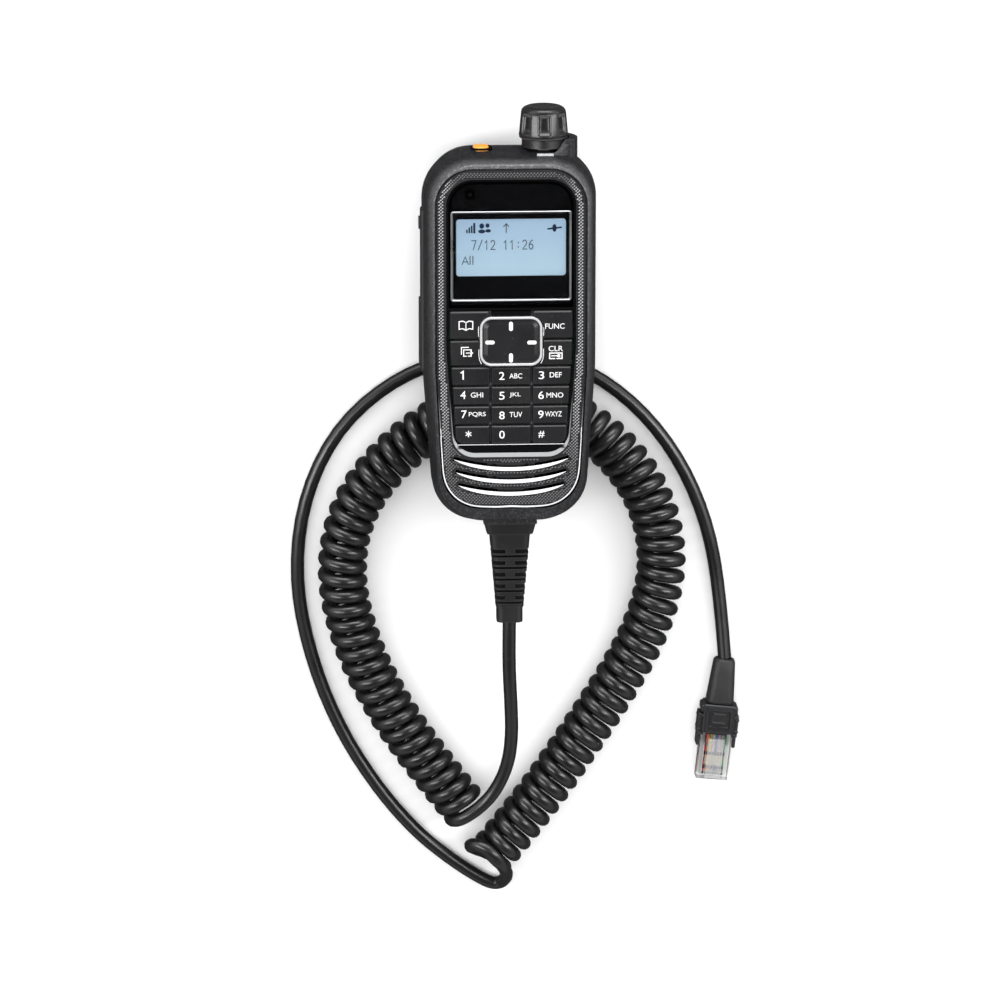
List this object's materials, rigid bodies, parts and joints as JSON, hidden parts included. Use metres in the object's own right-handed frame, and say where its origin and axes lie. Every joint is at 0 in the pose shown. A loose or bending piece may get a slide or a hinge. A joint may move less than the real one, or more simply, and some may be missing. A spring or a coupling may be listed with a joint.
{
  "type": "hand microphone",
  "caption": "Hand microphone with a small display, a telephone keypad, a volume knob and a talk key, on a curly cord that ends in an eight-way modular plug.",
  "frame": {"origin": "centre of the hanger stud's face, on the surface that the microphone lies on", "axes": "+Y along the housing towards the volume knob, +Z out of the front with the keys, +X to the user's right"},
  "size_m": [0.1653, 0.2966, 0.043],
  "materials": {
    "case_plastic": "spark-eroded dark grey moulding",
    "bezel_plastic": "gloss black panel with a knurled band round it",
    "stud_metal": "turned, satin",
    "screw_steel": "zinc plated",
    "window_clear": "clear, glossy",
    "silver_trim": "satin silver plating",
    "display_blue": "light blue liquid crystal display with dark characters",
    "backlight_white": "white diffuser",
    "key_plastic": "satin black with light printed legends",
    "sheet_rubber": "silicone rubber",
    "board_green": "green solder mask",
    "speaker_steel": "plated steel",
    "speaker_fabric": "black woven cloth",
    "switch_plastic": "black moulding",
    "led_clear": "clear lamp",
    "connector_white": "white moulding",
    "knob_plastic": "black, satin crown",
    "shaft_brass": "turned",
    "relief_rubber": "smooth black",
    "button_orange": "satin orange",
    "talk_rubber": "satin black",
    "lamp_clear": "clear, frosted",
    "cord_jacket": "satin black",
    "boot_rubber": "matt black with fine ribs",
    "cover_plastic": "black moulding",
    "plug_clear": "clear, glossy",
    "wire_colours": "eight insulated cores in different colours",
    "contact_gold": "gold plated"
  },
  "bodies": {
    "housing": {"rear_case": "case_plastic", "front_case": "case_plastic", "hanger_stud": "stud_metal", "hanger_screw": "screw_steel", "front_bezel": "bezel_plastic", "window_lens": "window_clear", "display_trim": "silver_trim", "display_glass": "display_blue", "display_backlight": "backlight_white", "nav_ring": "silver_trim", "nav_mask": "key_plastic", "switch_sheet": "sheet_rubber", "main_board": "board_green", "board_screws": "screw_steel", "case_screws": "screw_steel", "speaker": "speaker_steel", "speaker_cloth": "speaker_fabric", "microphone_boot": "sheet_rubber", "microphone_element": "stud_metal", "talk_switch": "switch_plastic", "alarm_switch": "switch_plastic", "indicator_led": "led_clear", "cord_connector": "connector_white", "cord_clamp": "screw_steel", "encoder": "speaker_steel", "knob_collar": "relief_rubber", "indicator_window": "lamp_clear", "strain_relief": "relief_rubber", "lead_in": "cord_jacket", "curly_cord": "cord_jacket", "lead_out": "cord_jacket", "plug_boot": "boot_rubber", "plug_cover": "cover_plastic", "plug_body": "plug_clear", "plug_wires": "wire_colours", "plug_contacts": "contact_gold"},
    "key_book": {"key_book": "key_plastic"},
    "key_list": {"key_list": "key_plastic"},
    "key_function": {"key_function": "key_plastic"},
    "key_clear": {"key_clear": "key_plastic"},
    "key_1": {"key_1": "key_plastic"},
    "key_2": {"key_2": "key_plastic"},
    "key_3": {"key_3": "key_plastic"},
    "key_4": {"key_4": "key_plastic"},
    "key_5": {"key_5": "key_plastic"},
    "key_6": {"key_6": "key_plastic"},
    "key_7": {"key_7": "key_plastic"},
    "key_8": {"key_8": "key_plastic"},
    "key_9": {"key_9": "key_plastic"},
    "key_star": {"key_star": "key_plastic"},
    "key_0": {"key_0": "key_plastic"},
    "key_hash": {"key_hash": "key_plastic"},
    "nav_pad": {"nav_pad": "key_plastic"},
    "talk_key": {"talk_key": "talk_rubber"},
    "alarm_button": {"alarm_button": "button_orange"},
    "volume": {"volume_knob": "knob_plastic", "encoder_shaft": "shaft_brass"},
    "latch": {"plug_latch": "plug_clear"}
  },
  "joints": [
    {"name": "press_book", "type": "slide", "parent": "housing", "child": "key_book", "axis": [0, 0, -1], "range_m": [0, 0.0005], "stiffness_N_per_m": 800},
    {"name": "press_list", "type": "slide", "parent": "housing", "child": "key_list", "axis": [0, 0, -1], "range_m": [0, 0.0005], "stiffness_N_per_m": 800},
    {"name": "press_function", "type": "slide", "parent": "housing", "child": "key_function", "axis": [0, 0, -1], "range_m": [0, 0.0005], "stiffness_N_per_m": 800},
    {"name": "press_clear", "type": "slide", "parent": "housing", "child": "key_clear", "axis": [0, 0, -1], "range_m": [0, 0.0005], "stiffness_N_per_m": 800},
    {"name": "press_1", "type": "slide", "parent": "housing", "child": "key_1", "axis": [0, 0, -1], "range_m": [0, 0.0005], "stiffness_N_per_m": 800},
    {"name": "press_2", "type": "slide", "parent": "housing", "child": "key_2", "axis": [0, 0, -1], "range_m": [0, 0.0005], "stiffness_N_per_m": 800},
    {"name": "press_3", "type": "slide", "parent": "housing", "child": "key_3", "axis": [0, 0, -1], "range_m": [0, 0.0005], "stiffness_N_per_m": 800},
    {"name": "press_4", "type": "slide", "parent": "housing", "child": "key_4", "axis": [0, 0, -1], "range_m": [0, 0.0005], "stiffness_N_per_m": 800},
    {"name": "press_5", "type": "slide", "parent": "housing", "child": "key_5", "axis": [0, 0, -1], "range_m": [0, 0.0005], "stiffness_N_per_m": 800},
    {"name": "press_6", "type": "slide", "parent": "housing", "child": "key_6", "axis": [0, 0, -1], "range_m": [0, 0.0005], "stiffness_N_per_m": 800},
    {"name": "press_7", "type": "slide", "parent": "housing", "child": "key_7", "axis": [0, 0, -1], "range_m": [0, 0.0005], "stiffness_N_per_m": 800},
    {"name": "press_8", "type": "slide", "parent": "housing", "child": "key_8", "axis": [0, 0, -1], "range_m": [0, 0.0005], "stiffness_N_per_m": 800},
    {"name": "press_9", "type": "slide", "parent": "housing", "child": "key_9", "axis": [0, 0, -1], "range_m": [0, 0.0005], "stiffness_N_per_m": 800},
    {"name": "press_star", "type": "slide", "parent": "housing", "child": "key_star", "axis": [0, 0, -1], "range_m": [0, 0.0005], "stiffness_N_per_m": 800},
    {"name": "press_0", "type": "slide", "parent": "housing", "child": "key_0", "axis": [0, 0, -1], "range_m": [0, 0.0005], "stiffness_N_per_m": 800},
    {"name": "press_hash", "type": "slide", "parent": "housing", "child": "key_hash", "axis": [0, 0, -1], "range_m": [0, 0.0005], "stiffness_N_per_m": 800},
    {"name": "press_nav_pad", "type": "slide", "parent": "housing", "child": "nav_pad", "axis": [0, 0, -1], "range_m": [0, 0.0005], "stiffness_N_per_m": 800},
    {"name": "talk_press", "type": "slide", "parent": "housing", "child": "talk_key", "axis": [1, 0, 0], "range_m": [0, 0.001], "stiffness_N_per_m": 1500},
    {"name": "alarm_press", "type": "slide", "parent": "housing", "child": "alarm_button", "axis": [0, -1, 0], "range_m": [0, 0.0008], "stiffness_N_per_m": 1000},
    {"name": "volume_turn", "type": "hinge", "parent": "housing", "child": "volume", "pos_m": [0.0123, 0.0432, 0.026], "axis": [0, 1, 0], "range_deg": [-140, 140]},
    {"name": "latch_flex", "type": "hinge", "parent": "housing", "child": "latch", "pos_m": [0.07605, -0.20036, 0.0089], "axis": [0.9947, -0.1028, 0], "range_deg": [-3.5, 0], "stiffness_Nm_per_rad": 0.5}
  ]
}
